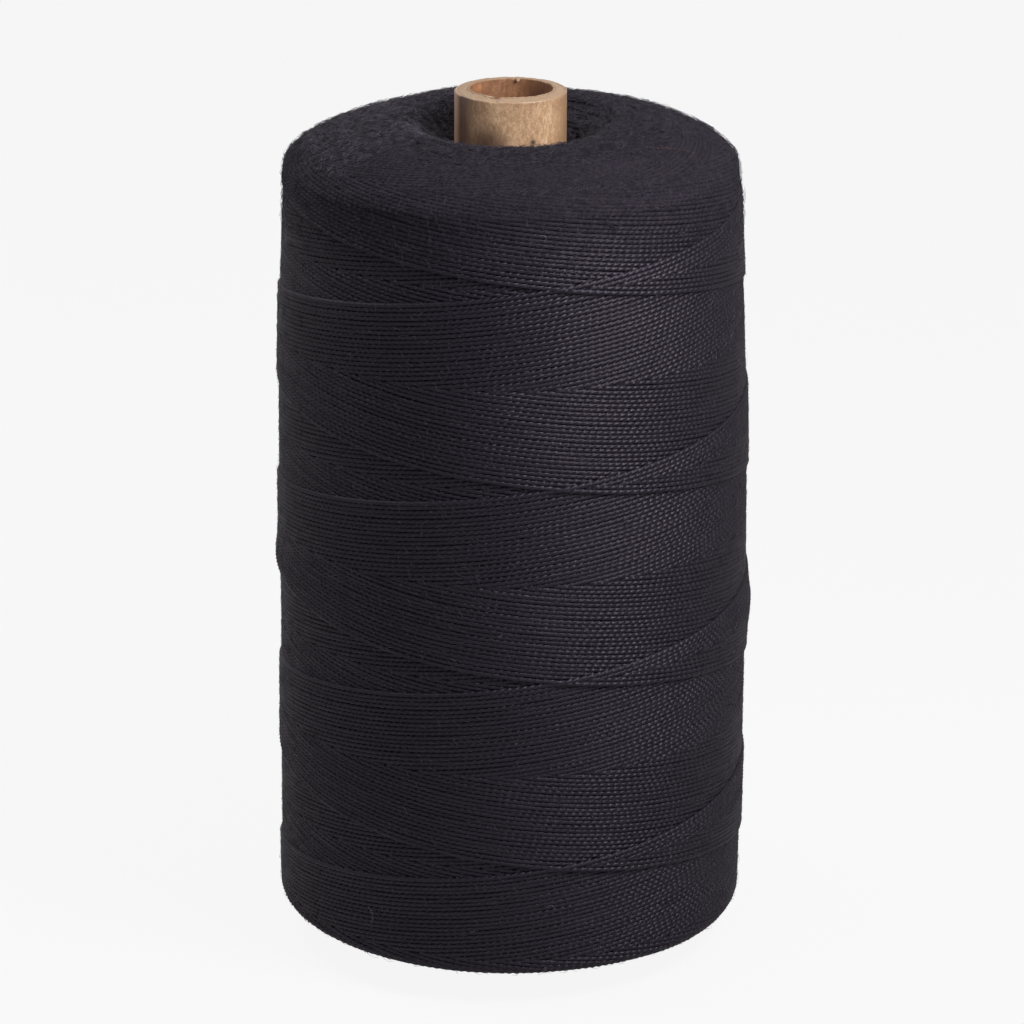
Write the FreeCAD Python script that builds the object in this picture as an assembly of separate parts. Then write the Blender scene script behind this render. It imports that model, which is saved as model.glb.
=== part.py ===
"""Cross-wound spool of plied cotton thread on a parallel-wound kraft paper tube.

Lengths are in millimetres. The spool stands on the lower rim of its tube, with the
tube's axis on Z and the origin at the centre of that rim.
"""
import FreeCAD, Part
import math
import os

Vector = FreeCAD.Vector

# Paper tube, rolled from three layers of kraft that lie face to face
TUBE_LENGTH = 136.5
BORE_RADIUS = 6.5
INNER_PLY_THICKNESS = 0.35
BOARD_PLIES_THICKNESS = 1.35
OUTER_PLY_THICKNESS = 0.4
RIM_BREAK = 0.2
INNER_SEAM_WIDTH = 0.5
INNER_SEAM_ANGLE = 255.0
LAP_STEP = 0.2
LAP_ARC = 26.0
LAP_RAMP_ARC = 14.0
LAP_SEAM_ANGLE = 209.0

# Thread package, measured over the outermost turns of thread
PACKAGE_LIFT = 4.0
PACKAGE_HEIGHT = 128.6
SIDE_RADIUS = 37.5
TAPER_HEIGHT = 55.0
TOP_RADIUS = 35.2
LOWER_SHOULDER_HEIGHT = 2.7
UPPER_SHOULDER_HEIGHT = 7.3
LOWER_SHOULDER_ROUND = 1.8
UPPER_SHOULDER_ROUND = 4.6
LOWER_CROWN_RADIUS = 20.6
UPPER_CROWN_RADIUS = 17.1
LOWER_CRATER_DEPTH = 3.5
UPPER_CRATER_DEPTH = 5.0
TUBE_CLEARANCE = 0.05
FULLEST_ROUND = 0.9
FACET_ANGLE = 32.0

# Thread of the outer layer, laid in strokes up and down the side
THREAD_DIAMETER = 0.72
THREAD_SIDES = 4
STROKES = 4
WHOLE_TURNS_PER_STROKE = 4
TURN_BACK = 0.25
WINDING_MARGIN = 5.5
SEAT_CLEARANCE = 0.1
CROSSING_GAP = 0.45
FIRST_TURN_ANGLE = -60.0
GAP_SAMPLE_STEP = 0.5

# What follows from the sizes above
TUBE_RADIUS = BORE_RADIUS + INNER_PLY_THICKNESS + BOARD_PLIES_THICKNESS + OUTER_PLY_THICKNESS
LOWER_CROWN_Z = PACKAGE_LIFT
UPPER_CROWN_Z = PACKAGE_LIFT + PACKAGE_HEIGHT
FOOT_Z = LOWER_CROWN_Z + LOWER_SHOULDER_HEIGHT
TOP_Z = UPPER_CROWN_Z - UPPER_SHOULDER_HEIGHT
TAPER_Z = TOP_Z - TAPER_HEIGHT
UP_LAYER = SEAT_CLEARANCE + THREAD_DIAMETER / 2
DOWN_LAYER = UP_LAYER + THREAD_DIAMETER + CROSSING_GAP
WINDING_DEPTH = DOWN_LAYER + THREAD_DIAMETER / 2
STROKE_START_Z = FOOT_Z + WINDING_MARGIN
STROKE_RISE = TOP_Z - FOOT_Z - 2 * WINDING_MARGIN
TURNS_PER_STROKE = WHOLE_TURNS_PER_STROKE - 1 / STROKES
EVEN_TURNS = TURNS_PER_STROKE - TURN_BACK
LEAD = STROKE_RISE / EVEN_TURNS
FULL_TURN = 2 * math.pi


def on_circle(radius, degrees, z=0.0):
    """Point at a radius and an angle about the tube's axis."""
    angle = math.radians(degrees)
    return Vector(radius * math.cos(angle), radius * math.sin(angle), z)


def arc_edge(start, middle, end):
    """Edge of the circular arc through three points."""
    return Part.Arc(start, middle, end).toShape()


def line_edge(start, end):
    """Straight edge between two points."""
    return Part.LineSegment(start, end).toShape()


def in_plane(radius, z):
    """Point of an outline in the XZ plane."""
    return Vector(radius, 0, z)


def turned(outline):
    """Solid that a closed outline of points in the XZ plane makes when it is turned about Z."""
    face = Part.Face(Part.makePolygon([*outline, outline[0]]))
    return face.revolve(Vector(0, 0, 0), Vector(0, 0, 1), 360)


def lapped_prism(radius):
    """Rolled tube filled solid, with its lap: the last of the sheet lies a step proud of its start."""
    seam = LAP_SEAM_ANGLE
    lap_start = seam - LAP_ARC
    ramp_start = lap_start - LAP_RAMP_ARC
    proud = radius + LAP_STEP
    around = (ramp_start + seam - 360) / 2
    over = (lap_start + seam) / 2
    edges = [
        arc_edge(on_circle(radius, seam - 360), on_circle(radius, around), on_circle(radius, ramp_start)),
        line_edge(on_circle(radius, ramp_start), on_circle(proud, lap_start)),
        arc_edge(on_circle(proud, lap_start), on_circle(proud, over), on_circle(proud, seam)),
        line_edge(on_circle(proud, seam), on_circle(radius, seam)),
    ]
    return Part.Face(Part.Wire(edges)).extrude(Vector(0, 0, TUBE_LENGTH))


def make_inner_ply():
    """Lining of the bore, with broken inner rims and an open seam along the tube."""
    outer_radius = BORE_RADIUS + INNER_PLY_THICKNESS
    ply = turned([
        in_plane(BORE_RADIUS + RIM_BREAK, 0),
        in_plane(outer_radius, 0),
        in_plane(outer_radius, TUBE_LENGTH),
        in_plane(BORE_RADIUS + RIM_BREAK, TUBE_LENGTH),
        in_plane(BORE_RADIUS, TUBE_LENGTH - RIM_BREAK),
        in_plane(BORE_RADIUS, RIM_BREAK),
    ])
    seam = Part.makeBox(outer_radius, INNER_SEAM_WIDTH, TUBE_LENGTH, Vector(0, -INNER_SEAM_WIDTH / 2, 0))
    seam.rotate(Vector(0, 0, 0), Vector(0, 0, 1), INNER_SEAM_ANGLE)
    return ply.cut(seam)


def make_board_plies():
    """Thick middle of the tube wall."""
    inner_radius = BORE_RADIUS + INNER_PLY_THICKNESS
    outside = Part.makeCylinder(inner_radius + BOARD_PLIES_THICKNESS, TUBE_LENGTH)
    return outside.cut(Part.makeCylinder(inner_radius, TUBE_LENGTH))


def make_outer_ply():
    """Smooth wrapping of the tube, with its lapped seam and its broken outer rims."""
    widest = TUBE_RADIUS + LAP_STEP
    blank = turned([
        in_plane(0, 0),
        in_plane(widest - RIM_BREAK, 0),
        in_plane(widest, RIM_BREAK),
        in_plane(widest, TUBE_LENGTH - RIM_BREAK),
        in_plane(widest - RIM_BREAK, TUBE_LENGTH),
        in_plane(0, TUBE_LENGTH),
    ])
    inside = Part.makeCylinder(TUBE_RADIUS - OUTER_PLY_THICKNESS, TUBE_LENGTH)
    return lapped_prism(TUBE_RADIUS).common(blank).cut(inside)


def core_side():
    """Points up the side of the plain core in the XZ plane: straight at first, then tapering to its top."""
    radius = SIDE_RADIUS - WINDING_DEPTH
    return [in_plane(radius, FOOT_Z), in_plane(radius, TAPER_Z), in_plane(TOP_RADIUS - WINDING_DEPTH, TOP_Z)]


def core_radius(z):
    """Radius of the plain core's side at a height."""
    _, low, high = core_side()
    share = max(0.0, (z - low.z) / (high.z - low.z))
    return low.x + (high.x - low.x) * share


def chords(centre, radius, start, end, upward):
    """Points after the first that cut an arc in the XZ plane into chords of no more than the facet angle."""
    count = math.ceil(abs(end - start) / math.radians(FACET_ANGLE))
    points = []
    for step in range(1, count + 1):
        angle = start + (end - start) * step / count
        points.append(centre + in_plane(radius * math.cos(angle), upward * radius * math.sin(angle)))
    return points


def shoulder(side_radius, crown_radius, crown_z, height, round_radius, upward):
    """Points of two tangent arcs, from the side round the shoulder and over the dome to the crown ring."""
    small = min(round_radius, FULLEST_ROUND * height)
    width = side_radius - crown_radius
    large = (width ** 2 - 2 * width * small + height ** 2) / (2 * (height - small))
    small_centre = in_plane(side_radius - small, crown_z - upward * height)
    large_centre = in_plane(crown_radius, crown_z - upward * large)
    reach = small_centre - large_centre
    turn = math.atan2(upward * reach.z, reach.x)
    return [*chords(small_centre, small, 0, turn, upward),
            *chords(large_centre, large, turn, math.pi / 2, upward)]


def crater(crown_radius, crown_z, depth, upward):
    """Points of the arc that sinks from beside the crown ring to the tube."""
    width = crown_radius - TUBE_RADIUS
    radius = (width ** 2 + depth ** 2) / (2 * depth)
    fall = 2 * math.atan2(depth, width)
    centre = in_plane(crown_radius, crown_z - upward * radius)
    return chords(centre, radius, math.pi / 2, math.pi / 2 + fall, upward)


def make_wound_core():
    """All the thread below the outer layer, as one body with domed and cratered ends."""
    side = core_side()
    upper = shoulder(side[-1].x, UPPER_CROWN_RADIUS, UPPER_CROWN_Z, UPPER_SHOULDER_HEIGHT,
                     UPPER_SHOULDER_ROUND, 1)
    lower = shoulder(side[0].x, LOWER_CROWN_RADIUS, LOWER_CROWN_Z, LOWER_SHOULDER_HEIGHT,
                     LOWER_SHOULDER_ROUND, -1)
    upper_crater = crater(UPPER_CROWN_RADIUS, UPPER_CROWN_Z, UPPER_CRATER_DEPTH, 1)
    lower_crater = crater(LOWER_CROWN_RADIUS, LOWER_CROWN_Z, LOWER_CRATER_DEPTH, -1)
    body = turned([*side, *upper, *upper_crater, *reversed(lower_crater), *reversed(lower)])
    return body.cut(lapped_prism(TUBE_RADIUS + TUBE_CLEARANCE))


def winding_stations():
    """Stations of the thread's centre line, about a quarter turn apart, as angle, radius, height and slope.

    Strokes up lie on the core and strokes down lie over them. The thread turns back in one
    short stretch, in which it changes layer. Its end levels out and comes down to the core
    in half of such a stretch.
    """
    steps = round(4 * EVEN_TURNS)
    stations = []
    angle = math.radians(FIRST_TURN_ANGLE)
    for stroke in range(STROKES):
        rising = stroke % 2 == 0
        slope = LEAD / FULL_TURN * (1 if rising else -1)
        layer = UP_LAYER if rising else DOWN_LAYER
        for step in range(steps + 1):
            climbed = STROKE_RISE * step / steps
            z = STROKE_START_Z + (climbed if rising else STROKE_RISE - climbed)
            turned_by = FULL_TURN * EVEN_TURNS * step / steps
            stations.append((angle + turned_by, core_radius(z) + layer, z, slope))
        angle += FULL_TURN * TURNS_PER_STROKE
    last_angle, _, last_z, last_slope = stations[-1]
    level_off = FULL_TURN * TURN_BACK / 2
    end_z = last_z + last_slope * level_off / 2
    stations.append((last_angle + level_off, core_radius(end_z) + UP_LAYER, end_z, 0.0))
    return stations


def station_frame(station):
    """Place and unit direction of the thread at a station."""
    angle, radius, z, slope = station
    place = Vector(radius * math.cos(angle), radius * math.sin(angle), z)
    direction = Vector(-radius * math.sin(angle), radius * math.cos(angle), slope)
    return place, direction.normalize()


def biarc(start, start_direction, end, end_direction):
    """Two tangent arcs between two directed points, each as (start, middle, end)."""
    chord = end - start
    both = start_direction + end_direction
    spread = 2 * (1 - start_direction.dot(end_direction))
    along = chord.dot(both)
    reach = (-along + math.sqrt(along ** 2 + spread * chord.dot(chord))) / spread
    first_corner = start + start_direction * reach
    second_corner = end - end_direction * reach
    joint = (first_corner + second_corner) / 2
    return (arc_points(start, first_corner, joint), arc_points(joint, second_corner, end))


def arc_points(start, corner, end):
    """Three points of the arc whose end tangents meet at a corner."""
    middle = (start + end) / 2
    half_turn = (corner - start).getAngle(end - start)
    share = math.tan(half_turn / 2) / math.tan(half_turn)
    return start, middle + (corner - middle) * share, end


def winding_path():
    """Spine of the thread: its arcs, with a straight end of one thread diameter each side."""
    frames = [station_frame(station) for station in winding_stations()]
    first, first_direction = frames[0]
    last, last_direction = frames[-1]
    edges = [line_edge(first - first_direction * THREAD_DIAMETER, first)]
    for (start, start_direction), (end, end_direction) in zip(frames, frames[1:]):
        edges.extend(arc_edge(*arc) for arc in biarc(start, start_direction, end, end_direction))
    edges.append(line_edge(last, last + last_direction * THREAD_DIAMETER))
    return Part.Wire(edges)


def make_outer_winding():
    """Outer layer of the thread as one unbroken faceted cord."""
    start, direction = station_frame(winding_stations()[0])
    start = start - direction * THREAD_DIAMETER
    outward = Vector(start.x, start.y, 0).normalize()
    across = direction.cross(outward).normalize()
    outward = across.cross(direction)
    corners = []
    for side in range(THREAD_SIDES + 1):
        angle = FULL_TURN * (side % THREAD_SIDES) / THREAD_SIDES
        offset = outward * math.cos(angle) + across * math.sin(angle)
        corners.append(start + offset * (THREAD_DIAMETER / 2))
    section = Part.makePolygon(corners)
    return winding_path().makePipeShell([section], True, False)


def path_samples(path):
    """Points along the path with their distance from its start."""
    samples = []
    travelled = 0.0
    for edge in path.OrderedEdges:
        count = max(2, math.ceil(edge.Length / GAP_SAMPLE_STEP))
        points = edge.discretize(count + 1)
        step = edge.Length / count
        samples.extend((travelled + step * index, point) for index, point in enumerate(points[:-1]))
        travelled += edge.Length
    return samples


def least_self_gap(path):
    """Smallest clear space between points of the thread that lie further apart along it than a radius."""
    cell = 3 * THREAD_DIAMETER
    grid = {}
    least = math.inf
    apart = SIDE_RADIUS
    for travelled, point in path_samples(path):
        key = (int(point.x // cell), int(point.y // cell), int(point.z // cell))
        for dx in (-1, 0, 1):
            for dy in (-1, 0, 1):
                for dz in (-1, 0, 1):
                    for other_travelled, other in grid.get((key[0] + dx, key[1] + dy, key[2] + dz), ()):
                        if travelled - other_travelled > apart:
                            least = min(least, point.distanceToPoint(other))
        grid.setdefault(key, []).append((travelled, point))
    return least - THREAD_DIAMETER


def report_winding():
    """Prints the winding's loops, its lead, its tightest arc and its least gap to itself."""
    path = winding_path()
    radii = [edge.Curve.Radius for edge in path.Edges if hasattr(edge.Curve, "Radius")]
    loops = STROKES * TURNS_PER_STROKE - TURN_BACK / 2
    print("winding loops", round(loops, 2), "lead", round(LEAD, 2), "length", round(path.Length, 1))
    print("tightest arc radius", round(min(radii), 2), "widest", round(max(radii), 2))
    print("least gap of the thread to itself", round(least_self_gap(path), 3))


def main():
    os.makedirs("parts", exist_ok=True)
    nodes = {
        "inner_ply": make_inner_ply(),
        "board_plies": make_board_plies(),
        "outer_ply": make_outer_ply(),
        "wound_core": make_wound_core(),
        "outer_winding": make_outer_winding(),
    }
    for name, shape in nodes.items():
        shape.exportStep("parts/" + name + ".step")
        print(name, "solids", len(shape.Solids), "valid", shape.isValid(), "volume", round(shape.Volume, 1))
    report_winding()


main()
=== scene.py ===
"""Looks of a cross-wound spool of dark plied thread on a kraft paper tube.

Sizes are in millimetres and become metres only where a mesh is made. Angles run round
the tube's axis to the right from the front, which is where the camera stands. A place
is a length along the package's outline from the middle of its side, upwards.
"""
import bisect
import logging
import math
import random
from dataclasses import dataclass, field
from enum import Enum
from functools import partial
from typing import Any, Callable, Iterable, Union

import bmesh
import bpy
from mathutils import Matrix, Vector, noise


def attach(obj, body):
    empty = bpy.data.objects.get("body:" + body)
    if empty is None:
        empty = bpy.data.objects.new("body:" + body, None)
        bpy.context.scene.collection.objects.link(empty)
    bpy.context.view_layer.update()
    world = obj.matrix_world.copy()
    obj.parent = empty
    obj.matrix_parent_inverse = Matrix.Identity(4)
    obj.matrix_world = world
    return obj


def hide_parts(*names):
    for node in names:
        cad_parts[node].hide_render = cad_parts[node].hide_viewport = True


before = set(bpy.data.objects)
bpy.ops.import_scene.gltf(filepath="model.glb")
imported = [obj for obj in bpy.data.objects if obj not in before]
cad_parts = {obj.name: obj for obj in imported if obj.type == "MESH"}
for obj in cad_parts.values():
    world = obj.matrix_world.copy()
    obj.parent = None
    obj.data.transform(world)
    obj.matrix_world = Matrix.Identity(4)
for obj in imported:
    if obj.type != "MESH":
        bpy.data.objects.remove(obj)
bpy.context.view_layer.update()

MM = 0.001
BODY = "root"
TURN = 2 * math.pi
RIDGE = "ridge"
TONE = "tone"
EVEN_TONE = 0.5
SWELL_REACH = 3.0
SRGB_KNEE, SRGB_SLOPE, SRGB_LIFT, SRGB_POWER = 0.04045, 12.92, 0.055, 2.4
Colour = tuple[float, float, float]
Point = tuple[float, float, float]
Ground = Callable[[float, float], float]
log = logging.getLogger("spool")


def srgb(red: int, green: int, blue: int) -> Colour:
    """Turn a colour as a screen shows it into the linear one that a shader takes.

    Args:
        red: level from 0 to 255.
        green: the same.
        blue: the same.

    Returns:
        The linear colour.
    """
    def linear(level: int) -> float:
        """Undo the screen's curve for one channel."""
        part = level / 255
        return (part / SRGB_SLOPE if part <= SRGB_KNEE
                else ((part + SRGB_LIFT) / (1 + SRGB_LIFT)) ** SRGB_POWER)
    return linear(red), linear(green), linear(blue)


def smooth_step(low: float, high: float, value: float) -> float:
    """Rise smoothly from 0 at low to 1 at high."""
    part = min(1.0, max(0.0, (value - low) / (high - low)))
    return part * part * (3 - 2 * part)


def turned_from(angle: float, other: float) -> float:
    """How far an angle lies to the right of another, from minus half a turn to half a turn."""
    return (angle - other + math.pi) % TURN - math.pi


class Signal:
    """A socket of a node tree that takes part in Python expressions."""

    def __init__(self, recipe: "Recipe", socket: bpy.types.NodeSocket) -> None:
        """Remember the recipe that makes the maths nodes and the socket itself."""
        self.recipe = recipe
        self.socket = socket

    def _maths(self, operation: str, left: "Level", right: "Level" = 0.0) -> "Signal":
        """Add one Math node and return its result."""
        node = self.recipe.node("ShaderNodeMath", {"operation": operation}, {0: left, 1: right})
        return Signal(self.recipe, node.outputs[0])

    def __add__(self, other: "Level") -> "Signal":
        """Sum."""
        return self._maths("ADD", self, other)

    def __radd__(self, other: "Level") -> "Signal":
        """Sum, with the number on the left."""
        return self._maths("ADD", other, self)

    def __sub__(self, other: "Level") -> "Signal":
        """Difference."""
        return self._maths("SUBTRACT", self, other)

    def __rsub__(self, other: "Level") -> "Signal":
        """Difference, with the number on the left."""
        return self._maths("SUBTRACT", other, self)

    def __mul__(self, other: "Level") -> "Signal":
        """Product."""
        return self._maths("MULTIPLY", self, other)

    def __rmul__(self, other: "Level") -> "Signal":
        """Product, with the number on the left."""
        return self._maths("MULTIPLY", other, self)

    def or_more(self, other: "Level") -> "Signal":
        """The larger of the two."""
        return self._maths("MAXIMUM", self, other)

    def above(self, low: float, high: float) -> "Signal":
        """Rise smoothly from 0 where this is low to 1 where it is high."""
        node = self.recipe.node(
            "ShaderNodeMapRange", {"interpolation_type": "SMOOTHSTEP", "clamp": True},
            {"Value": self, "From Min": low, "From Max": high, "To Min": 0.0, "To Max": 1.0})
        return Signal(self.recipe, node.outputs[0])


Level = Union[Signal, float]
Sockets = dict[Union[str, int], Any]


class Recipe:
    """The node tree of a material or a world while it is being made."""

    def __init__(self, owner: Union[bpy.types.Material, bpy.types.World]) -> None:
        """Start with an empty tree.

        Args:
            owner: the material or world that the tree belongs to.
        """
        self.owner = owner
        owner.use_nodes = True
        self.tree = owner.node_tree
        self.tree.nodes.clear()

    def node(self, kind: str, settings: dict[str, Any] | None = None,
             sockets: Sockets | None = None) -> bpy.types.Node:
        """Make a node.

        Args:
            kind: the node's type.
            settings: its properties, set first.
            sockets: what its inputs take, values or signals, by name or index.

        Returns:
            The node.
        """
        made = self.tree.nodes.new(kind)
        for name, value in (settings or {}).items():
            setattr(made, name, value)
        for name, value in (sockets or {}).items():
            if isinstance(value, Signal):
                self.tree.links.new(value.socket, made.inputs[name])
            else:
                made.inputs[name].default_value = value
        return made

    def out(self, node: bpy.types.Node, name: Union[str, int] = 0) -> Signal:
        """One of a node's outputs as a signal."""
        return Signal(self, node.outputs[name])

    def place(self, scale: Colour = (1.0, 1.0, 1.0)) -> Signal:
        """The object's own coordinates in metres, stretched."""
        where = self.out(self.node("ShaderNodeTexCoord"), "Object")
        return self.out(self.node("ShaderNodeMapping", {"vector_type": "POINT"},
                                  {"Vector": where, "Scale": scale}))

    def attribute(self, name: str) -> Signal:
        """One of the mesh's own attributes."""
        return self.out(self.node("ShaderNodeAttribute", {"attribute_name": name}), "Fac")

    def axis(self, where: Signal, name: str) -> Signal:
        """One of the three parts of a place or a direction."""
        return self.out(self.node("ShaderNodeSeparateXYZ", None, {0: where}), name)

    def noise(self, where: Signal, scale: float, detail: float = 2.0, roughness: float = 0.5,
              distortion: float = 0.0) -> Signal:
        """Make noise from 0 to 1.

        Args:
            where: the coordinates.
            scale: cells per metre of the coordinates.
            detail: finer layers.
            roughness: the strength of these.
            distortion: how far it is pulled about.

        Returns:
            The noise.
        """
        made = self.node("ShaderNodeTexNoise", {"noise_dimensions": "3D"},
                         {"Vector": where, "Scale": scale, "Detail": detail,
                          "Roughness": roughness, "Distortion": distortion})
        return self.out(made)

    def spot(self, centre: Point, radius: float, upright: bool = False) -> Signal:
        """Mark a spot.

        Args:
            centre: its middle in millimetres.
            radius: where it ends, in millimetres.
            upright: whether it runs on upwards and downwards as a streak.

        Returns:
            1 in the middle, falling smoothly to 0 at the end.
        """
        where = self.place((1.0, 1.0, 0.0 if upright else 1.0))
        level = 0.0 if upright else centre[2] * MM
        middle = (centre[0] * MM, centre[1] * MM, level)
        away = self.node("ShaderNodeVectorMath", {"operation": "DISTANCE"}, {0: where, 1: middle})
        return 1.0 - self.out(away, "Value").above(0.0, radius * MM)

    def mix(self, share: Level, first: Any, second: Any) -> Signal:
        """Blend two colours.

        Args:
            share: how much of the second.
            first: a signal or linear red, green and blue.
            second: the same.

        Returns:
            The blend.
        """
        def full(colour: Any) -> Any:
            """Give a plain colour its alpha."""
            return colour if isinstance(colour, Signal) else (*colour, 1.0)
        made = self.node("ShaderNodeMix", {"data_type": "RGBA"},
                         {0: share, 6: full(first), 7: full(second)})
        return self.out(made, 2)

    def bump(self, height: Level, depth: float, strength: float = 1.0) -> Signal:
        """A normal from a height, with its depth in metres."""
        return self.out(self.node("ShaderNodeBump", None, {
            "Height": height, "Distance": depth, "Strength": strength}))

    def seen(self, mirrored: Level = 1.0) -> Signal:
        """Tell rays that show something from those that only light it.

        Args:
            mirrored: the share of a reflection.

        Returns:
            1 for rays from the camera or through something clear, the share for a
            reflection, else 0.
        """
        path = self.node("ShaderNodeLightPath")
        direct = self.out(path, "Is Camera Ray").or_more(self.out(path, "Is Transmission Ray"))
        return direct.or_more(self.out(path, "Is Glossy Ray") * mirrored)

    def finish(self, sockets: Sockets) -> bpy.types.Material:
        """Close a material with a Principled shader.

        Args:
            sockets: what the shader's inputs take.

        Returns:
            The material.
        """
        shader = self.node("ShaderNodeBsdfPrincipled", None, sockets)
        self.node("ShaderNodeOutputMaterial", None, {"Surface": self.out(shader)})
        return self.owner


@dataclass(frozen=True)
class ThreadFinish:
    """Dark plied cotton with a soft sheen and lighter broken fibres. The grooves between the plies are
    painted lighter than the plies, as painted fill light against their shade, and a band near the top
    of the side shows fewer pale fibres, as painted shade.
    """

    name: str = "thread_cotton"
    # Lighter than the body and the crests: painted fill light in the grooves, against the shade that
    # falls there.
    groove_painted_light: Colour = srgb(26, 22, 30)
    body: Colour = srgb(14, 11, 17)
    crest: Colour = srgb(20, 16, 23)
    worn: Colour = srgb(66, 59, 74)
    fuzz: float = 0.45
    roughness: float = 0.5
    patchiness: float = 0.25
    shine: float = 0.5
    tint: Colour = (0.92, 0.79, 1.0)
    relief: float = 0.0001
    fibre_relief: float = 0.3
    # A band near the top of the side: there the thread is rougher and shows fewer pale fibres, as
    # painted shade where the lamps light it most.
    top_band_from: float = 117.0
    top_band_to: float = 129.0
    top_band_dull: float = 0.4
    top_band_shade: float = 0.9
    crest_range: tuple[float, float] = (0.3, 0.7)
    fleck_range: tuple[float, float] = (0.56, 0.8)
    cloud_cells: float = 45.0
    patch_cells: float = 420.0
    fibre_cells: float = 5200.0

    def material(self) -> bpy.types.Material:
        """Make the thread's material.

        Returns:
            The material, which reads the thread's own ridge and tone attributes.
        """
        r = Recipe(bpy.data.materials.new(self.name))
        where = r.place()
        cloud = r.noise(where, self.cloud_cells, detail=3.0)
        patch = r.noise(where, self.patch_cells)
        fibre = r.noise(where, self.fibre_cells, roughness=0.6)
        ply = r.attribute(RIDGE).above(0.0, 1.0)
        tone = cloud * 0.35 + patch * 0.3 + r.attribute(TONE) * 0.35
        colour = r.mix(tone.above(*self.crest_range), self.body, self.crest)
        # The grooves between the plies take the lighter colour, as painted fill light.
        colour = r.mix(ply, self.groove_painted_light, colour)
        # The top band, where the thread is rougher and its pale fibres fade as painted shade.
        frayed = r.axis(where, "Z").above(self.top_band_from * MM, self.top_band_to * MM)
        fleck = fibre.above(*self.fleck_range) * (1.0 - frayed * self.top_band_shade)
        colour = r.mix(fleck * self.fuzz, colour, self.worn)
        return r.finish({
            "Base Color": colour,
            "Roughness": self.roughness + (patch - 0.5) * self.patchiness + frayed * self.top_band_dull,
            "Specular IOR Level": self.shine,
            "Specular Tint": (*self.tint, 1.0),
            "Normal": r.bump(ply + fibre * self.fibre_relief, self.relief),
        })


@dataclass(frozen=True)
class UnderlayerFinish:
    """The older turns, seen dark between the outer ones; their colours are painted lighter than the
    thread's, as painted fill light against the shade there.
    """

    name: str = "thread_shade"
    # Both colours are painted lighter than the thread's, as painted fill light in the gaps between the
    # rows.
    deep: Colour = srgb(26, 23, 29)
    body: Colour = srgb(40, 36, 44)
    row_cells: float = 160.0
    row_squeeze: float = 9.0
    roughness: float = 0.85
    shine: float = 0.1
    relief: float = 0.0003

    def material(self) -> bpy.types.Material:
        """Make the underlayer's material.

        Returns:
            The material.
        """
        r = Recipe(bpy.data.materials.new(self.name))
        rows = r.noise(r.place((1.0, 1.0, self.row_squeeze)), self.row_cells, detail=3.0)
        return r.finish({
            "Base Color": r.mix(rows, self.deep, self.body),
            "Roughness": self.roughness,
            "Specular IOR Level": self.shine,
            "Normal": r.bump(rows, self.relief, strength=0.7),
        })


@dataclass(frozen=True)
class FibreFinish:
    """Loose fibre, one tone with slight unevenness."""

    name: str
    dark: Colour
    light: Colour
    light_range: tuple[float, float] = (0.35, 0.65)
    cells: float = 900.0
    roughness: float = 0.7
    shine: float = 0.35

    def material(self) -> bpy.types.Material:
        """Make the fibre's material.

        Returns:
            The material.
        """
        r = Recipe(bpy.data.materials.new(self.name))
        tone = r.noise(r.place(), self.cells, detail=1.0)
        return r.finish({
            "Base Color": r.mix(tone.above(*self.light_range), self.dark, self.light),
            "Roughness": self.roughness,
            "Specular IOR Level": self.shine,
        })


@dataclass(frozen=True)
class StainAndPaintedLight:
    """A spot or an upright streak of another colour on paper: a real stain, or a painted shade, shadow
    or highlight.
    """

    centre: Point
    radius: float
    colour: Colour
    share: float
    upright: bool = False


@dataclass(frozen=True)
class KraftFinish:
    """Brown kraft paper: mottled, with short upright fibres and dark flecks."""

    name: str
    deep: Colour
    body: Colour
    pale: Colour
    cut: Colour = srgb(158, 129, 104)
    stains_and_painted_light: tuple[StainAndPaintedLight, ...] = ()
    rim: float = 136.5
    rim_depth: float = 0.2
    roughness: float = 0.5
    patchiness: float = 0.2
    shine: float = 0.5
    relief: float = 0.00012
    body_range: tuple[float, float] = (0.36, 0.56)
    pale_range: tuple[float, float] = (0.5, 0.66)
    pale_share: float = 0.75
    fleck_range: tuple[float, float] = (0.66, 0.74)
    fleck_share: float = 0.45
    streak_squeeze: float = 0.45
    fleck_squeeze: float = 0.6
    streak_cells: float = 2200.0
    grain_cells: float = 3600.0
    cloud_cells: float = 260.0
    fleck_cells: float = 2400.0

    def material(self) -> bpy.types.Material:
        """Make the paper's material.

        Returns:
            The material.
        """
        r = Recipe(bpy.data.materials.new(self.name))
        where = r.place()
        streak = r.noise(r.place((1.0, 1.0, self.streak_squeeze)), self.streak_cells, detail=3.0,
                         roughness=0.6, distortion=0.3)
        grain = r.noise(where, self.grain_cells, detail=3.0, roughness=0.7)
        cloud = r.noise(where, self.cloud_cells, detail=3.0, roughness=0.6)
        fleck = r.noise(r.place((1.0, 1.0, self.fleck_squeeze)), self.fleck_cells, roughness=0.7)
        tone = streak * 0.35 + grain * 0.35 + cloud * 0.3
        colour = r.mix(tone.above(*self.body_range), self.deep, self.body)
        colour = r.mix(tone.above(*self.pale_range) * self.pale_share, colour, self.pale)
        for stain_and_light in self.stains_and_painted_light:
            share = r.spot(stain_and_light.centre, stain_and_light.radius, stain_and_light.upright) * stain_and_light.share
            colour = r.mix(share * (0.6 + cloud * 0.8), colour, stain_and_light.colour)
        edge = r.axis(where, "Z").above((self.rim - self.rim_depth) * MM, self.rim * MM)
        colour = r.mix(edge * (0.45 + grain * 0.6), colour, self.cut)
        colour = r.mix(fleck.above(*self.fleck_range) * self.fleck_share, colour, self.deep)
        return r.finish({
            "Base Color": colour,
            "Roughness": self.roughness + (cloud - 0.5) * self.patchiness,
            "Specular IOR Level": self.shine,
            "Normal": r.bump(tone, self.relief, strength=0.6),
        })


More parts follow.
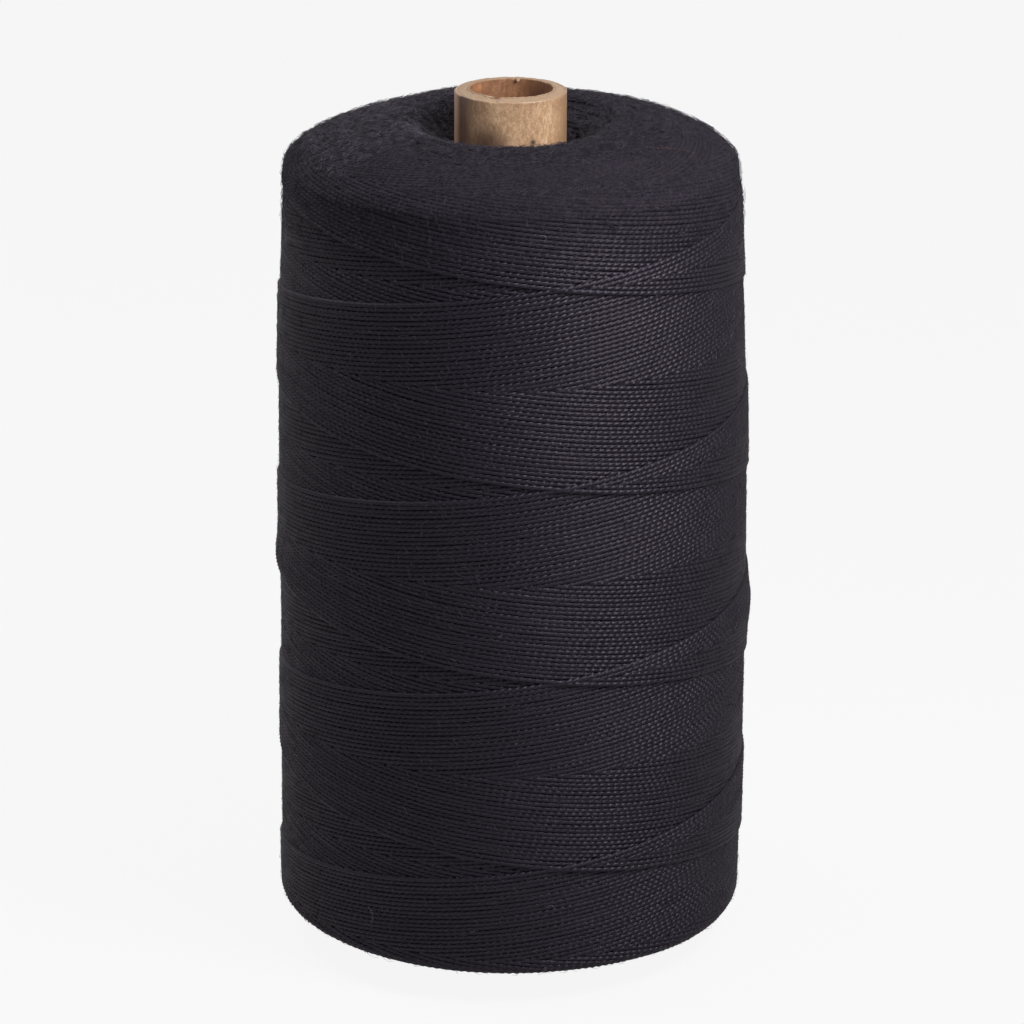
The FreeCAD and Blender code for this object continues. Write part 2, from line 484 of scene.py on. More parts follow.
@dataclass(frozen=True)
class FloorFinish:
    """A white floor that keeps a faint shadow of what stands on it."""

    name: str = "studio_floor"
    colour: Colour = (0.5, 0.5, 0.5)
    white: float = 0.9
    mirrored: float = 0.15

    def material(self) -> bpy.types.Material:
        """Make the floor's material.

        Returns:
            The material, nearly white where it is seen and plain where it throws light back.
        """
        r = Recipe(bpy.data.materials.new(self.name))
        plain = r.node("ShaderNodeBsdfDiffuse", None, {"Color": (*self.colour, 1.0)})
        bright = r.node("ShaderNodeEmission", None, {"Strength": 1.0})
        surface = r.node("ShaderNodeMixShader", None, {
            0: r.seen(self.mirrored) * self.white, 1: r.out(plain), 2: r.out(bright)})
        r.node("ShaderNodeOutputMaterial", None, {"Surface": r.out(surface)})
        return r.owner


def dress(piece: bpy.types.Object, material: bpy.types.Material,
          replaces: Iterable[str] = ()) -> bpy.types.Object:
    """Give a piece its material and tie it to the frame.

    Args:
        piece: the finished object at the origin.
        material: its material.
        replaces: the CAD nodes that it is shown in place of.

    Returns:
        The piece.
    """
    piece.data.materials.clear()
    piece.data.materials.append(material)
    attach(piece, BODY)
    for node in replaces:
        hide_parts(node)
    log.info("%s: %d faces", piece.name, len(piece.data.polygons))
    return piece


def link(name: str, data: bpy.types.ID) -> bpy.types.Object:
    """Put data into the scene as an object.

    Args:
        name: the object's name.
        data: its mesh, curve, light or camera.

    Returns:
        The object.
    """
    made = bpy.data.objects.new(name, data)
    bpy.context.scene.collection.objects.link(made)
    return made


def piece_from_bmesh(name: str, shape: bmesh.types.BMesh, smooth: bool = True) -> bpy.types.Object:
    """Turn a bmesh into an object with its faces outwards.

    Args:
        name: the piece's name.
        shape: its mesh in millimetres, which is freed.
        smooth: whether its faces are shaded smooth.

    Returns:
        The object, in metres.
    """
    bmesh.ops.recalc_face_normals(shape, faces=shape.faces)
    bmesh.ops.scale(shape, vec=(MM, MM, MM), verts=shape.verts)
    for face in shape.faces:
        face.smooth = smooth
    mesh = bpy.data.meshes.new(name)
    shape.to_mesh(mesh)
    shape.free()
    return link(name, mesh)


def new_path(name: str) -> bpy.types.Curve:
    """Start a curve whose runs become closed tubes.

    Args:
        name: the name of the piece that it becomes.

    Returns:
        The curve, still without runs.
    """
    curve = bpy.data.curves.new(name + "_path", "CURVE")
    curve.dimensions = "3D"
    curve.twist_mode = "Z_UP"
    curve.use_fill_caps = True
    return curve


def add_run(curve: bpy.types.Curve, run: list[Point]) -> bpy.types.Spline:
    """Add one run of points to a curve.

    Args:
        curve: the curve.
        run: the points, in millimetres.

    Returns:
        The run as the curve holds it.
    """
    spline = curve.splines.new("POLY")
    spline.points.add(len(run) - 1)
    spline.points.foreach_set("co", [value for x, y, z in run
                                     for value in (x * MM, y * MM, z * MM, 1.0)])
    return spline


def piece_from_path(name: str, curve: bpy.types.Curve, radii: list[float]) -> bpy.types.Object:
    """Turn a curve into the mesh of its tubes and drop the curve.

    Args:
        name: the piece's name.
        curve: the runs.
        radii: the corners of the tubes' section, evenly round it, in millimetres.

    Returns:
        The piece.
    """
    flat = bpy.data.curves.new("section", "CURVE")
    flat.dimensions = "2D"
    spline = flat.splines.new("POLY")
    spline.points.add(len(radii) - 1)
    for index, point in enumerate(spline.points):
        angle, radius = TURN * index / len(radii), radii[index] * MM
        point.co = (radius * math.cos(angle), radius * math.sin(angle), 0.0, 1.0)
    spline.use_cyclic_u = True
    section = link("section", flat)
    curve.bevel_mode = "OBJECT"
    curve.bevel_object = section
    path = link(curve.name, curve)
    depsgraph = bpy.context.evaluated_depsgraph_get()
    mesh = bpy.data.meshes.new_from_object(path.evaluated_get(depsgraph))
    mesh.name = name
    for used in (path, section):
        bpy.data.objects.remove(used)
    for used in (curve, flat):
        bpy.data.curves.remove(used)
    return link(name, mesh)


def spin_ring(shape: bmesh.types.BMesh, ring: list[bmesh.types.BMVert], segments: int) -> None:
    """Spin a closed section round the tube's axis.

    Args:
        shape: the mesh that holds the section.
        ring: the section's points, in order.
        segments: faces in a full turn.
    """
    edges = [shape.edges.new(pair) for pair in zip(ring, ring[1:] + ring[:1])]
    bmesh.ops.spin(shape, geom=ring + edges, cent=(0, 0, 0), axis=(0, 0, 1), dvec=(0, 0, 0),
                   angle=TURN, steps=segments, use_merge=True)


def direction(azimuth: float, elevation: float) -> Vector:
    """The way from the spool to what stands at an azimuth and an elevation, in radians."""
    level = math.cos(elevation)
    return Vector((level * math.sin(azimuth), -level * math.cos(azimuth), math.sin(elevation)))


def facing(aim: Vector, way: Vector, distance: float) -> Matrix:
    """Stand something off from an aim, turned towards it.

    Args:
        aim: the point that it faces, in millimetres.
        way: the direction from the aim to it.
        distance: how far it stands off, in millimetres.

    Returns:
        Its matrix, in metres.
    """
    turned = (-way).to_track_quat("-Z", "Y").to_matrix().to_4x4()
    return Matrix.Translation(aim * MM + way * distance * MM) @ turned


class End(Enum):
    """The package's two end faces; the value is the way along the outline."""

    TOP = 1
    BOTTOM = -1


class Stroke(Enum):
    """The two ways that thread is laid; the value is the sign of its climb."""

    RISING = 1
    FALLING = -1


@dataclass(frozen=True)
class Swell:
    """A stretch of the package that stands proud of its outline, or under it if negative."""

    angle: float
    place: float
    amount: float
    spread: float
    tall: float

    def height(self, angle: float, place: float) -> float:
        """How far the thread stands out at an angle and a place."""
        off = ((turned_from(angle, self.angle) / self.spread) ** 2
               + ((place - self.place) / self.tall) ** 2)
        return self.amount * math.exp(-off) if off < SWELL_REACH ** 2 else 0.0


@dataclass
class Outline:
    """The package's outline from the crater at its foot to the crater at its top."""

    middle_z: float = 68.95
    foot_z: float = 6.7
    brow_z: float = 125.3
    foot_radius: float = 37.24
    waist_radius: float = 37.45
    brow_radius: float = 35.23
    lower_crown: tuple[float, float] = (20.6, 4.0)
    upper_crown: tuple[float, float] = (17.1, 132.3)
    lower_square: float = 2.75
    upper_square: float = 1.73
    tube_radius: float = 8.6
    lower_crater: float = 3.5
    upper_crater: float = 5.0
    crater_hollow: float = 1.15
    steps: int = 40
    side_steps: int = 120
    swells: tuple[Swell, ...] = ()
    points: list[tuple[float, float]] = field(init=False)
    lengths: list[float] = field(init=False)

    def __post_init__(self) -> None:
        """Trace the outline and measure it."""
        lower = self._end(self.lower_crown, self.foot_radius, self.foot_z,
                          self.lower_square, self.lower_crater)
        upper = self._end(self.upper_crown, self.brow_radius, self.brow_z,
                          self.upper_square, -self.upper_crater)
        side = []
        for step in range(1, self.side_steps):
            part = step / self.side_steps
            side.append((self.side_radius(part), self.foot_z + part * (self.brow_z - self.foot_z)))
        self.points = lower + side + upper[::-1]
        run = [0.0]
        for (r0, z0), (r1, z1) in zip(self.points, self.points[1:]):
            run.append(run[-1] + math.hypot(r1 - r0, z1 - z0))
        first = 2 * self.steps
        zero = next(length for length, (_, z) in zip(run[first:], self.points[first:])
                    if z >= self.middle_z)
        self.lengths = [length - zero for length in run]

    def side_radius(self, part: float) -> float:
        """Radius of the side from its foot, 0, to its brow, 1."""
        return (self.foot_radius * (1 - part) * (1 - 2 * part)
                + 4 * self.waist_radius * part * (1 - part)
                + self.brow_radius * part * (2 * part - 1))

    def _end(self, crown: tuple[float, float], edge_radius: float, edge_z: float,
             square: float, crater: float) -> list[tuple[float, float]]:
        """Trace an end face from the tube to the edge of the side.

        Args:
            crown: radius and height of the face's highest ring.
            edge_radius: radius of the side where the face begins.
            edge_z: height of that edge.
            square: how square the shoulder is, as a superellipse's power.
            crater: rise of the face from the crown to the tube.

        Returns:
            The face's points as radius and height.
        """
        crown_radius, crown_z = crown
        traced = []
        for step in range(self.steps):
            part = 1 - step / self.steps
            radius = crown_radius - part * (crown_radius - self.tube_radius)
            traced.append((radius, crown_z + crater * part ** self.crater_hollow))
        for step in range(self.steps + 1):
            angle = math.pi / 2 * step / self.steps
            out = math.sin(angle) ** (2 / square)
            rise = math.cos(angle) ** (2 / square)
            traced.append((crown_radius + (edge_radius - crown_radius) * out,
                           edge_z + (crown_z - edge_z) * rise))
        return traced

    def at(self, place: float) -> tuple[float, float, float, float]:
        """Look up the outline at a place.

        Args:
            place: the length along the outline.

        Returns:
            The radius and the height there, and the outward normal's parts out and up.
        """
        index = min(max(bisect.bisect_left(self.lengths, place), 1), len(self.lengths) - 1)
        (r0, z0), (r1, z1) = self.points[index - 1], self.points[index]
        span = self.lengths[index] - self.lengths[index - 1]
        part = (place - self.lengths[index - 1]) / span
        return (r0 + (r1 - r0) * part, z0 + (z1 - z0) * part, (z1 - z0) / span, -(r1 - r0) / span)

    def point(self, angle: float, place: float, height: float) -> Point:
        """Find a point over the outline and its swells.

        Args:
            angle: where it is, round the tube.
            place: where it is, along the outline.
            height: how far it stands out.

        Returns:
            The point in millimetres.
        """
        radius, z, out, up = self.at(place)
        height += sum(swell.height(angle, place) for swell in self.swells)
        radius += out * height
        return radius * math.sin(angle), -radius * math.cos(angle), z + up * height


@dataclass
class PliedThread:
    """Three plies twisted together, as a tube whose section has three lobes."""

    lobe_radius: float = 0.5
    valley_radius: float = 0.37
    plies: int = 3
    twist_length: float = 3.45
    hand: int = -1
    uneven: float = 0.07

    @property
    def step(self) -> float:
        """Length of thread between two sections, in which a lobe turns to a valley."""
        return self.twist_length / (2 * self.plies)

    def _mark(self, mesh: bpy.types.Mesh, runs: list[list[Point]]) -> None:
        """Write which points lie on a ridge, and a tone for each run.

        Args:
            mesh: the tubes, whose first points are the two caps of every run.
            runs: the runs that they were made from.
        """
        count = 2 * self.plies
        ridge = mesh.attributes.new(RIDGE, "FLOAT", "POINT")
        ridge.data.foreach_set("value", [1.0 - index % 2 for index in range(len(mesh.vertices))])
        chance = random.Random(len(runs))
        tones = [EVEN_TONE] * (2 * count * len(runs))
        for run in runs:
            tones += [chance.random()] * (count * len(run))
        tone = mesh.attributes.new(TONE, "FLOAT", "POINT")
        tone.data.foreach_set("value", tones)

    def lay(self, name: str, runs: list[list[Point]]) -> bpy.types.Object:
        """Lay thread along runs of points one section apart.

        Args:
            name: the piece's name.
            runs: the runs, each a list of points in millimetres.

        Returns:
            The thread as one mesh object.
        """
        chance = random.Random(name)
        curve = new_path(name)
        for run in runs:
            first = chance.uniform(0, TURN)
            turn = self.hand * math.pi / self.plies * (1 + chance.uniform(-self.uneven, self.uneven))
            add_run(curve, run).points.foreach_set(
                "tilt", [(first + turn * step) % TURN for step in range(len(run))])
        piece = piece_from_path(name, curve, [self.lobe_radius, self.valley_radius] * self.plies)
        self._mark(piece.data, runs)
        return piece


@dataclass
class CrossWinding:
    """The outer layer: 44 cycles up and down the side, each a little further round.

    A cycle's age counts the cycles laid after it. At any place one rising and one
    falling thread cross, and the younger lies on top.
    """

    outline: Outline
    thread: PliedThread
    lead: float = 30.6
    cycles: int = 44
    rising_front: float = 83.2
    falling_front: float = 54.7
    reach: float = 4.65
    turn_round: float = 0.9
    layer: float = 0.36
    skin: float = 0.48
    tuck: float = 4.5
    climb_on: float = 2.5
    uneven: float = 0.022
    sway: float = 0.02
    sways: int = 3
    sway_rates: tuple[float, float] = (0.6, 3.2)
    proud: float = 0.014
    shortest_run: int = 4
    groups: int = 6
    seed: int = 11

    def __post_init__(self) -> None:
        """Measure the fronts from the middle of the side and set the winding's ends."""
        self.rise_start = self.rising_front - self.outline.middle_z
        self.fall_start = self.falling_front - self.outline.middle_z
        self.centre = (self.rise_start + self.fall_start) / 2
        self.end = self.reach * self.lead / 2
        self.spacing = self.lead / self.cycles
        chance = random.Random(self.seed)
        keys = [(stroke, cycle) for stroke in Stroke for cycle in range(self.cycles)]
        self.waves = {key: [self._wave(chance) for _ in range(self.sways)] for key in keys}
        self.offset = {key: chance.gauss(0, self.uneven) for key in keys}
        self.lift = {key: chance.gauss(0, self.proud) for key in keys}

    def _wave(self, chance: random.Random) -> tuple[float, float, float]:
        """One wave of a thread's unevenness, as its size, phase and rate."""
        return chance.uniform(-1, 1), chance.uniform(0, TURN), chance.uniform(*self.sway_rates)

    def other_age(self, stroke: Stroke, angle: float, place: float) -> float:
        """Age of the thread that crosses a stroke.

        Args:
            stroke: up or down.
            angle: where they cross, round the tube.
            place: where they cross, along the outline.

        Returns:
            The other thread's age, in cycles.
        """
        front = self.lead * angle / TURN
        if stroke is Stroke.RISING:
            return ((place - (self.fall_start - front)) % self.lead) / self.spacing
        return (((self.rise_start + front) - place) % self.lead) / self.spacing

    def real_place(self, place: float) -> float:
        """Bend an even helix into the turn round at the end of the side.

        Args:
            place: where the even helix is, along the outline.

        Returns:
            Where the thread is.
        """
        side = place - self.centre
        bent = self.end - math.hypot(self.end - abs(side), self.turn_round)
        return self.centre + math.copysign(max(bent, 0.0), side)

    def height(self, own: float, other: float) -> float:
        """Height of a thread's centre over the outline.

        Args:
            own: the thread's age.
            other: the age of the thread that it crosses.

        Returns:
            The height, which falls with age and with what the other thread covers.
        """
        lag = (other - own) % self.cycles
        span = self.climb_on / (math.pi * self.outline.waist_radius) * self.cycles
        under = lag / self.cycles - smooth_step(-span, 0.0, lag - self.cycles)
        return self.layer * (0.5 - 2 * own / self.cycles - under) - self.skin

    def surface(self, angle: float, place: float) -> float:
        """Find the centre of the thread that lies on top.

        Args:
            angle: where it is, round the tube.
            place: where it is, along the outline.

        Returns:
            Its height over the outline.
        """
        if abs(place - self.centre) > self.end:
            return -self.skin
        falling = self.other_age(Stroke.RISING, angle, place)
        rising = self.other_age(Stroke.FALLING, angle, place)
        return self.height(min(rising, falling), max(rising, falling))

    def course(self, stroke: Stroke, cycle: int) -> list[list[Point]]:
        """Trace the stretches of one stroke that show, with their tucked-under ends.

        Args:
            stroke: up or down.
            cycle: the stroke's age.

        Returns:
            The stretches as lists of points.
        """
        waist = self.outline.waist_radius
        sign = stroke.value
        start = self.rise_start if stroke is Stroke.RISING else -self.fall_start
        first = (cycle * self.spacing - self.end + sign * self.centre - start) * TURN / self.lead
        tuck = self.tuck / (math.pi * waist) * self.cycles
        runs: list[list[Point]] = []
        run: list[Point] = []
        gone = 0.0
        while gone < self.reach * TURN:
            angle = first + gone
            place = self.centre + sign * (gone / TURN * self.lead - self.end)
            gone += self.thread.step / self.outline.at(place)[0]
            other = self.other_age(stroke, angle, place)
            lag = (other - cycle) % self.cycles
            if lag < self.cycles - cycle + tuck or lag > self.cycles - tuck:
                sway = sum(size * math.sin(angle * rate + phase)
                           for size, phase, rate in self.waves[stroke, cycle])
                real = self.real_place(place) + self.offset[stroke, cycle] + self.sway * sway
                raised = self.height(cycle, other) + self.lift[stroke, cycle]
                run.append(self.outline.point(angle, real, raised))
            elif run:
                runs.append(run)
                run = []
        return [run for run in runs + [run] if len(run) >= self.shortest_run]

    def build(self, material: bpy.types.Material) -> None:
        """Build the outer layer in groups of cycles.

        Args:
            material: the thread's.
        """
        share = self.cycles / self.groups
        for stroke in Stroke:
            for group in range(self.groups):
                runs = [run for cycle in range(round(group * share), round((group + 1) * share))
                        for run in self.course(stroke, cycle)]
                piece = self.thread.lay(f"thread_{stroke.name.lower()}_{group + 1}", runs)
                dress(piece, material, ["outer_winding"])


@dataclass
class EndFace:
    """An end of the package: the arcs in which thread turned back, one inside the next."""

    end: End
    outline: Outline
    thread: PliedThread
    start: float
    stop: float
    spacing: float = 0.55
    shown: float = 5.5
    half_length: float = 4.8
    slope: float = 0.2
    turn_round: float = 1.2
    skin: float = 0.45
    dip: float = 0.4
    skew: float = 0.9
    lift: float = 0.07
    shift: float = 0.2
    stretches: tuple[float, float] = (0.7, 1.35)
    stagger: float = 0.3
    skews: tuple[float, float] = (-0.7, 1.7)
    fewest_arcs: int = 3
    groups: int = 2
    seed: int = 5

    def row(self, chance: random.Random, middle: float) -> list[list[Point]]:
        """Trace the arcs whose middles lie at one place along the outline.

        Args:
            chance: where the unevenness comes from.
            middle: the place, counted towards this end.

        Returns:
            The arcs as lists of points.
        """
        runs = []
        radius = self.outline.at(self.end.value * middle)[0]
        arcs = max(self.fewest_arcs, round(TURN * radius / self.shown))
        phase = chance.uniform(0, TURN)
        for arc in range(arcs):
            half = self.half_length * chance.uniform(*self.stretches)
            centre = phase + TURN * (arc + chance.uniform(-self.stagger, self.stagger)) / arcs
            lift = chance.gauss(0, self.lift)
            shift = chance.gauss(0, self.shift)
            lean = self.skew * chance.uniform(*self.skews)
            run = []
            for step in range(int(2 * half / self.thread.step) + 1):
                along = step * self.thread.step - half
                part = along / half
                back = math.hypot(self.slope * along, self.turn_round) - self.turn_round
                place = min(middle - back + shift - lean * part, self.stop)
                height = lift - self.skin - self.dip * part * part
                run.append(self.outline.point(centre + along / radius, self.end.value * place, height))
            runs.append(run)
        return runs

    def build(self, material: bpy.types.Material) -> None:
        """Build the end face as rings of rows, from the shoulder to the tube.

        Args:
            material: the thread's.
        """
        chance = random.Random(self.seed)
        count = int((self.stop - self.start) / self.spacing) + 1
        rows = [self.row(chance, self.start + index * self.spacing) for index in range(count)]
        total = sum(len(row) for row in rows)
        group: list[list[Point]] = []
        number = 1
        for row in rows:
            group += row
            if len(group) > total / self.groups or row is rows[-1]:
                name = f"thread_{self.end.name.lower()}_end_{number}"
                dress(self.thread.lay(name, group), material, ["wound_core"])
                group = []
                number += 1


@dataclass
class LooseFibres:
    """Short fibres that stand or lie loose on the thread."""

    outline: Outline
    ground: Ground
    name: str
    count: int
    length: tuple[float, float]
    radius: float
    lift: float
    reach: tuple[float, float] = (-64.0, 62.0)
    sector: tuple[float, float] = (0.0, TURN)
    bend: float = 1.2
    points: int = 4
    thread_radius: float = 0.42
    rises: tuple[float, float] = (0.1, 1.0)
    arch: float = 2.4
    headings: float = 0.9
    taper: float = 0.6
    least_radius: float = 4.0
    seed: int = 3
    fixed: tuple[tuple[float, float, float, float], ...] = ()

    def fibre(self, chance: random.Random, angle: float, place: float, length: float,
              heading: float) -> list[Point]:
        """Trace one fibre from its foot on the thread.

        Args:
            chance: where its bend and rise come from.
            angle: where its foot is, round the tube.
            place: where its foot is, along the outline.
            length: its length.
            heading: its way from the level, in radians.

        Returns:
            Its points.
        """
        step = length / (self.points - 1)
        turn = chance.uniform(-1, 1) * self.bend
        rise = chance.uniform(*self.rises) * self.lift
        base = self.ground(angle, place) + self.thread_radius
        run = []
        for index in range(self.points):
            part = index / (self.points - 1)
            radius = max(self.outline.at(place)[0], self.least_radius)
            run.append(self.outline.point(angle, place, base + rise * math.sin(self.arch * part)))
            heading += turn * step / length * 2
            angle += step * math.cos(heading) / radius
            place += step * math.sin(heading)
        return run

    def build(self, material: bpy.types.Material) -> None:
        """Scatter the fibres evenly over their reach, after the fixed ones.

        Args:
            material: the fibres'.
        """
        chance = random.Random(self.seed)
        curve = new_path(self.name)
        runs = [self.fibre(chance, *start) for start in self.fixed]
        while len(runs) < self.count + len(self.fixed):
            place = chance.uniform(*self.reach)
            if chance.random() * self.outline.waist_radius > self.outline.at(place)[0]:
                continue
            runs.append(self.fibre(chance, chance.uniform(*self.sector), place,
                                   chance.uniform(*self.length), chance.gauss(0, self.headings)))
        thinned = [1.0 - self.taper * index / self.points for index in range(self.points)]
        for run in runs:
            add_run(curve, run).points.foreach_set("radius", thinned)
        dress(piece_from_path(self.name, curve, [self.radius] * 3), material)


@dataclass
class Underlayer:
    """The older turns just under the thread that shows, as one closed body."""

    outline: Outline
    winding: CrossWinding
    below: float = 0.12
    end_below: float = 0.2
    margin: float = 0.8
    spacing: float = 0.55
    segments: int = 96

    def height(self, angle: float, place: float) -> float:
        """Sink the underlayer below the thread that lies on top nearby.

        Args:
            angle: where it is, round the tube.
            place: where it is, along the outline.

        Returns:
            Its height over the outline.
        """
        if abs(place - self.winding.centre) > self.winding.end - self.margin:
            return -self.winding.skin - self.end_below
        near = (place - self.margin, place, place + self.margin)
        return min(self.winding.surface(angle, step) for step in near) - self.below

    def build(self, material: bpy.types.Material) -> None:
        """Spin the outline round the tube and sink it under the thread.

        Args:
            material: the underlayer's.
        """
        shape = bmesh.new()
        tag = shape.verts.layers.float.new("place")
        first, last = self.outline.lengths[0], self.outline.lengths[-1]
        count = int((last - first) / self.spacing)
        ring = []
        for step in range(count + 1):
            place = first + (last - first) * step / count
            radius, z, _, _ = self.outline.at(place)
            vert = shape.verts.new((radius, 0.0, z))
            vert[tag] = place
            ring.append(vert)
        spin_ring(shape, ring, self.segments)
        for vert in shape.verts:
            angle = math.atan2(vert.co.x, -vert.co.y)
            sunk = self.outline.point(angle, vert[tag], self.height(angle, vert[tag]))
            if math.hypot(sunk[0], sunk[1]) > self.outline.tube_radius:
                vert.co = sunk
        dress(piece_from_bmesh("thread_underlayer", shape), material, ["wound_core"])


@dataclass(frozen=True)
class Nick:
    """A place on a ply's rim that is torn down, or that curls up if it rises."""

    angle: float
    left: float
    right: float
    rise: float

    def height(self, angle: float) -> float:
        """Shape the nick as a notch with two straight sides.

        Args:
            angle: a place round the tube.

        Returns:
            How far the rim rises there.
        """
        aside = turned_from(angle, self.angle)
        part = 1 - (aside / self.right if aside > 0 else -aside / self.left)
        return self.rise * max(0.0, part)


@dataclass
class PaperPly:
    """One ply of the tube: a wall of paper with an uneven rim, and maybe a lapped seam."""

    name: str
    slot: str
    node: str
    inner_radius: float
    outer_radius: float
    rim: float
    rake: float = 0.0
    foot: float = 0.0
    bevel: float = 0.1
    lap: float = 0.0
    lap_seam: float = 0.0
    lap_arc: float = 0.5
    lap_ramp: float = 0.3
    fray: float = 0.05
    fray_waves: tuple[tuple[float, float], ...] = ((1.0, 0.9), (0.8, 3.1))
    fray_aside: float = 0.3
    fray_aside_rate: float = 2.3
    fray_aside_from: Point = (9.0, 0.0, 0.0)
    worn_from: float = 1.4
    worn_to: float = 0.1
    nicks: tuple[Nick, ...] = ()
    rings: tuple[float, ...] = (3.0, 1.5, 1.0, 0.7, 0.45, 0.25)
    segments: int = 288
    across: int = 6

    def profile(self) -> list[tuple[float, float]]:
        """Trace the wall's section, from the inner foot upwards.

        Returns:
            Its corners as radius and height.
        """
        inner, outer, edge = self.inner_radius, self.outer_radius, self.bevel
        levels = [self.foot + edge] + [self.rim - deep for deep in self.rings]
        levels.append(self.rim - edge)
        span = outer - inner - 2 * edge
        rim = [(inner + edge + span * step / self.across, self.rim) for step in range(self.across + 1)]
        return ([(inner, z) for z in levels] + rim + [(outer, z) for z in reversed(levels)]
                + [(outer - edge, self.foot), (inner + edge, self.foot)])

    def lapped(self, angle: float) -> float:
        """Find how much of the lap's step there is.

        Args:
            angle: a place round the tube.

        Returns:
            1 from the seam over the lap's arc, then falling smoothly to 0.
        """
        aside = -turned_from(angle, self.lap_seam)
        if aside < 0 or aside > self.lap_arc + self.lap_ramp:
            return 0.0
        return 1 - smooth_step(self.lap_arc, self.lap_arc + self.lap_ramp, aside)

    def worn(self, co: Vector) -> Vector:
        """Move a point of the even wall to where the worn one has it.

        Args:
            co: the point in millimetres.

        Returns:
            Where it goes.
        """
        angle = math.atan2(co.x, -co.y)
        radius = math.hypot(co.x, co.y)
        near = smooth_step(self.rim - self.worn_from, self.rim - self.worn_to, co.z)
        rise = self.fray * sum(size * noise.noise(co * rate) for size, rate in self.fray_waves)
        rise += sum(nick.height(angle) for nick in self.nicks)
        inward = (self.outer_radius - radius) / (self.outer_radius - self.inner_radius)
        rise += self.rake * min(1.0, max(0.0, inward))
        middle = (self.inner_radius + self.outer_radius) / 2
        out = self.lap * self.lapped(angle) * smooth_step(middle, self.outer_radius, radius)
        aside = noise.noise(co * self.fray_aside_rate + Vector(self.fray_aside_from))
        out += self.fray_aside * self.fray * near * aside
        grow = (radius + out) / radius
        return Vector((co.x * grow, co.y * grow, co.z + near * rise))

    def build(self, finish: KraftFinish) -> None:
        """Spin the wall and wear its rim.

        Args:
            finish: the paper's.
        """
        shape = bmesh.new()
        ring = [shape.verts.new((radius, 0.0, z)) for radius, z in self.profile()]
        spin_ring(shape, ring, self.segments)
        for vert in shape.verts:
            vert.co = self.worn(vert.co)
        dress(piece_from_bmesh(self.name, shape), finish.material(), [self.node])


@dataclass
class PaperFlap:
    """A torn bit of paper that curls over the rim."""

    name: str
    slot: str
    angle: float
    half_arc: float
    radius: float
    level: float
    out: float
    drop: float
    curl: float = 0.12
    taper: float = 0.55
    crumple: float = 0.05
    thickness: float = 0.08
    across: int = 6
    along: int = 4

    def build(self, finish: KraftFinish) -> None:
        """Bend a small grid over the rim and give it thickness.

        Args:
            finish: the paper's.
        """
        shape = bmesh.new()
        bmesh.ops.create_grid(shape, x_segments=self.across, y_segments=self.along, size=0.5)
        for vert in shape.verts:
            side, way = 2 * vert.co.x, vert.co.y + 0.5
            narrow = 1 - self.taper * way * way
            angle = self.angle + side * self.half_arc * narrow
            radius = self.radius + self.out * way
            z = self.level - self.drop * way + self.curl * math.sin(math.pi * way)
            z += self.crumple * noise.noise(Vector((side * 2, way * 2, self.angle)))
            vert.co = (radius * math.sin(angle), -radius * math.cos(angle), z)
        bmesh.ops.solidify(shape, geom=shape.faces[:], thickness=self.thickness)
        dress(piece_from_bmesh(self.name, shape), finish.material())


@dataclass(frozen=True)
class Lamp:
    """A square soft lamp that faces the middle of the spool."""

    name: str
    azimuth: float
    elevation: float
    distance: float
    size: float
    power: float

    def hang(self, aim: Vector) -> None:
        """Hang the lamp.

        Args:
            aim: the point that it faces, in millimetres.
        """
        data = bpy.data.lights.new(self.name, "AREA")
        data.shape = "SQUARE"
        data.size = self.size * MM
        data.energy = self.power
        way = direction(self.azimuth, self.elevation)
        link(self.name, data).matrix_world = facing(aim, way, self.distance)


@dataclass
class Studio:
    """Camera, lamps, world and floor."""

    lens: float = 149.6
    sensor: float = 36.0
    nearest: float = 0.05
    distance: float = 672.1
    elevation: float = 0.33246
    aim: Point = (0.26, 0.0, 68.38)
    roll: float = 0.00223
    lamps: tuple[Lamp, ...] = (Lamp("key", 0.8, 0.8, 250.0, 90.0, 0.54),
                               Lamp("top", -2.0, 1.0, 380.0, 200.0, 0.46))
    sky: float = 0.42
    backdrop: tuple[float, float] = (0.6, 1.15)
    floor_size: float = 3000.0

    def camera(self) -> None:
        """Put the camera where the photograph was taken from."""
        data = bpy.data.cameras.new("camera")
        data.lens = self.lens
        data.sensor_width = self.sensor
        data.clip_start = self.nearest
        camera = link("camera", data)
        stand = facing(Vector(self.aim), direction(0.0, self.elevation), self.distance)
        camera.matrix_world = stand @ Matrix.Rotation(self.roll, 4, "Z")
        bpy.context.scene.camera = camera

    def world(self) -> None:
        """Light evenly from all round, and show white; the spool mirrors what is behind it."""
        world = bpy.data.worlds.new("studio")
        bpy.context.scene.world = world
        r = Recipe(world)
        way = r.out(r.node("ShaderNodeTexCoord"), "Generated")
        behind = r.axis(way, "Y").above(*self.backdrop)
        soft, white = (r.out(r.node("ShaderNodeBackground", None, {"Strength": level}))
                       for level in (self.sky, 1.0))
        surface = r.node("ShaderNodeMixShader", None, {0: r.seen(behind), 1: soft, 2: white})
        r.node("ShaderNodeOutputWorld", None, {"Surface": r.out(surface)})

    def floor(self) -> None:
        """Lay a wide pale floor under the spool."""
        shape = bmesh.new()
        bmesh.ops.create_grid(shape, x_segments=1, y_segments=1, size=self.floor_size / 2)
        floor = piece_from_bmesh("floor", shape, smooth=False)
        floor.data.materials.append(FloorFinish().material())

    def build(self) -> None:
        """Set up the whole studio."""
        bpy.context.scene.view_settings.view_transform = "Standard"
        self.camera()
        self.world()
        self.floor()
        for lamp in self.lamps:
            lamp.hang(Vector((0.0, 0.0, self.aim[2])))


